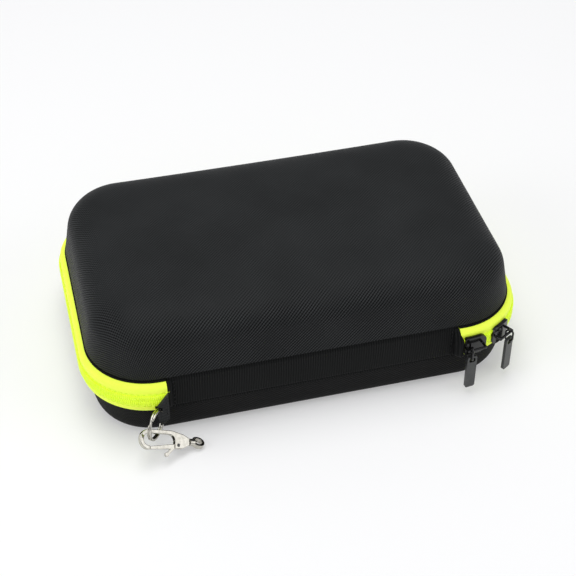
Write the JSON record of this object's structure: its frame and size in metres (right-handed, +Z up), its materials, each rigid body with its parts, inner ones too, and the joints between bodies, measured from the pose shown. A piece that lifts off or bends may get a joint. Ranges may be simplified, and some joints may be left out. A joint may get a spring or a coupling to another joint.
{
  "type": "hair clipper travel case",
  "caption": "Rounded hard-shell zip case for a hair clipper: moulded fabric lid and base on a folding spine, bright zip band with sliders, webbing loop with split ring and snap hook.",
  "frame": {"origin": "middle of the flat underside of the base, on the ground plane", "axes": "+X along the hinge side from the snap hook to the zip sliders, +Y away from the hinge side, +Z up out of the lid"},
  "size_m": [0.22, 0.1546, 0.0699],
  "materials": {
    "base_fabric": "near-black woven polyester",
    "binding_tape": "black binding tape",
    "black_metal": "gloss black lacquer on zinc",
    "black_webbing": "black webbing",
    "elastic": "black elastic",
    "eva_foam": "moulded closed-cell foam",
    "gunmetal": "dark grey lacquer on zinc",
    "lid_fabric": "dark grey woven polyester with a fine twill",
    "lime_coil": "bright lime nylon coil",
    "lime_tape": "bright lime woven zip tape",
    "lining_fabric": "grey brushed lining",
    "mesh_net": "black knitted mesh",
    "nickel": "bright nickel plate",
    "soft_foam": "open-cell charcoal foam",
    "spine_fabric": "black ribbed grosgrain",
    "spring_steel": "spring steel"
  },
  "bodies": {
    "base": {"base_outer_skin": "base_fabric", "base_eva_shell": "eva_foam", "base_lining": "lining_fabric", "base_rim_binding": "binding_tape", "foam_insert": "soft_foam", "lower_zip_tape": "lime_tape", "lower_zip_coil": "lime_coil", "webbing_loop": "black_webbing"},
    "spine": {"spine_panel": "spine_fabric", "spine_lining": "lining_fabric"},
    "lid": {"lid_outer_skin": "lid_fabric", "lid_eva_shell": "eva_foam", "lid_lining": "lining_fabric", "lid_rim_binding": "binding_tape", "mesh_pocket_net": "mesh_net", "mesh_pocket_elastic": "elastic", "upper_zip_tape": "lime_tape", "upper_zip_coil": "lime_coil", "upper_tape_end_right": "lime_tape", "upper_tape_end_left": "lime_tape", "upper_coil_end_right": "lime_coil", "upper_coil_end_left": "lime_coil"},
    "slider_front": {"slider_front_body": "black_metal"},
    "pull_link_front": {"pull_link_front": "black_metal"},
    "pull_tab_front": {"pull_tab_front": "gunmetal"},
    "slider_rear": {"slider_rear_body": "black_metal"},
    "pull_link_rear": {"pull_link_rear": "black_metal"},
    "pull_tab_rear": {"pull_tab_rear": "gunmetal"},
    "ring": {"split_ring": "nickel"},
    "clasp": {"clasp_body": "nickel", "swivel_stud": "nickel", "lever_pin": "nickel", "lever_spring": "spring_steel"},
    "clasp_lever": {"clasp_lever": "nickel"},
    "clasp_eye": {"swivel_eye": "nickel"}
  },
  "joints": [
    {"name": "spine_fold", "type": "hinge", "parent": "base", "child": "spine", "pos_m": [0, -0.0657, 0.0192], "axis": [1, 0, 0], "range_deg": [0, 47]},
    {"name": "lid_fold", "type": "hinge", "parent": "spine", "child": "lid", "pos_m": [0, -0.0657, 0.03805], "axis": [1, 0, 0], "range_deg": [0, 133], "deforming": ["upper_tape_end_right", "upper_tape_end_left", "upper_coil_end_right", "upper_coil_end_left"]},
    {"name": "slider_front_travel", "type": "hinge", "parent": "base", "child": "slider_front", "pos_m": [0.0752, -0.0348, 0.02863], "axis": [0, 0, 1], "range_deg": [0, 3]},
    {"name": "pull_link_front_swing", "type": "hinge", "parent": "slider_front", "child": "pull_link_front", "pos_m": [0.07683, -0.07402, 0.02863], "axis": [0.9914, 0.1305, 0], "range_deg": [-70, 0]},
    {"name": "pull_tab_front_swing", "type": "hinge", "parent": "pull_link_front", "child": "pull_tab_front", "pos_m": [0.07683, -0.07402, 0.02297], "axis": [0.9914, 0.1305, 0], "range_deg": [-12, 0]},
    {"name": "slider_rear_travel", "type": "hinge", "parent": "base", "child": "slider_rear", "pos_m": [0.0752, -0.0348, 0.02863], "axis": [0, 0, 1], "range_deg": [0, 46]},
    {"name": "pull_link_rear_swing", "type": "hinge", "parent": "slider_rear", "child": "pull_link_rear", "pos_m": [0.09889, -0.0661, 0.02863], "axis": [0.848, 0.5299, 0], "range_deg": [-70, 0]},
    {"name": "pull_tab_rear_swing", "type": "hinge", "parent": "pull_link_rear", "child": "pull_tab_rear", "pos_m": [0.09889, -0.0661, 0.02297], "axis": [0.848, 0.5299, 0], "range_deg": [-12, 0]},
    {"name": "ring_swing", "type": "hinge", "parent": "base", "child": "ring", "pos_m": [-0.07535, -0.0686, 0.0184], "axis": [0, 0, -1], "range_deg": [0, 25]},
    {"name": "clasp_swing", "type": "hinge", "parent": "ring", "child": "clasp", "pos_m": [-0.07963, -0.07458, 0.01105], "axis": [-0.5821, -0.8131, 0], "range_deg": [0, 15]},
    {"name": "clasp_lever_press", "type": "hinge", "parent": "clasp", "child": "clasp_lever", "pos_m": [-0.07099, -0.07928, 0.00646], "axis": [-0.4111, 0.5619, -0.7178], "range_deg": [0, 8], "stiffness_Nm_per_rad": 0.0008, "springref_deg": -5.73},
    {"name": "clasp_eye_swivel", "type": "hinge", "parent": "clasp", "child": "clasp_eye", "pos_m": [-0.061, -0.0767, 0.00275], "axis": [-0.8939, -0.094, 0.4384], "continuous": true}
  ],
  "couplings": [
    {"joint": "spine_fold", "follows": "lid_fold", "ratio": 0.35338}
  ]
}
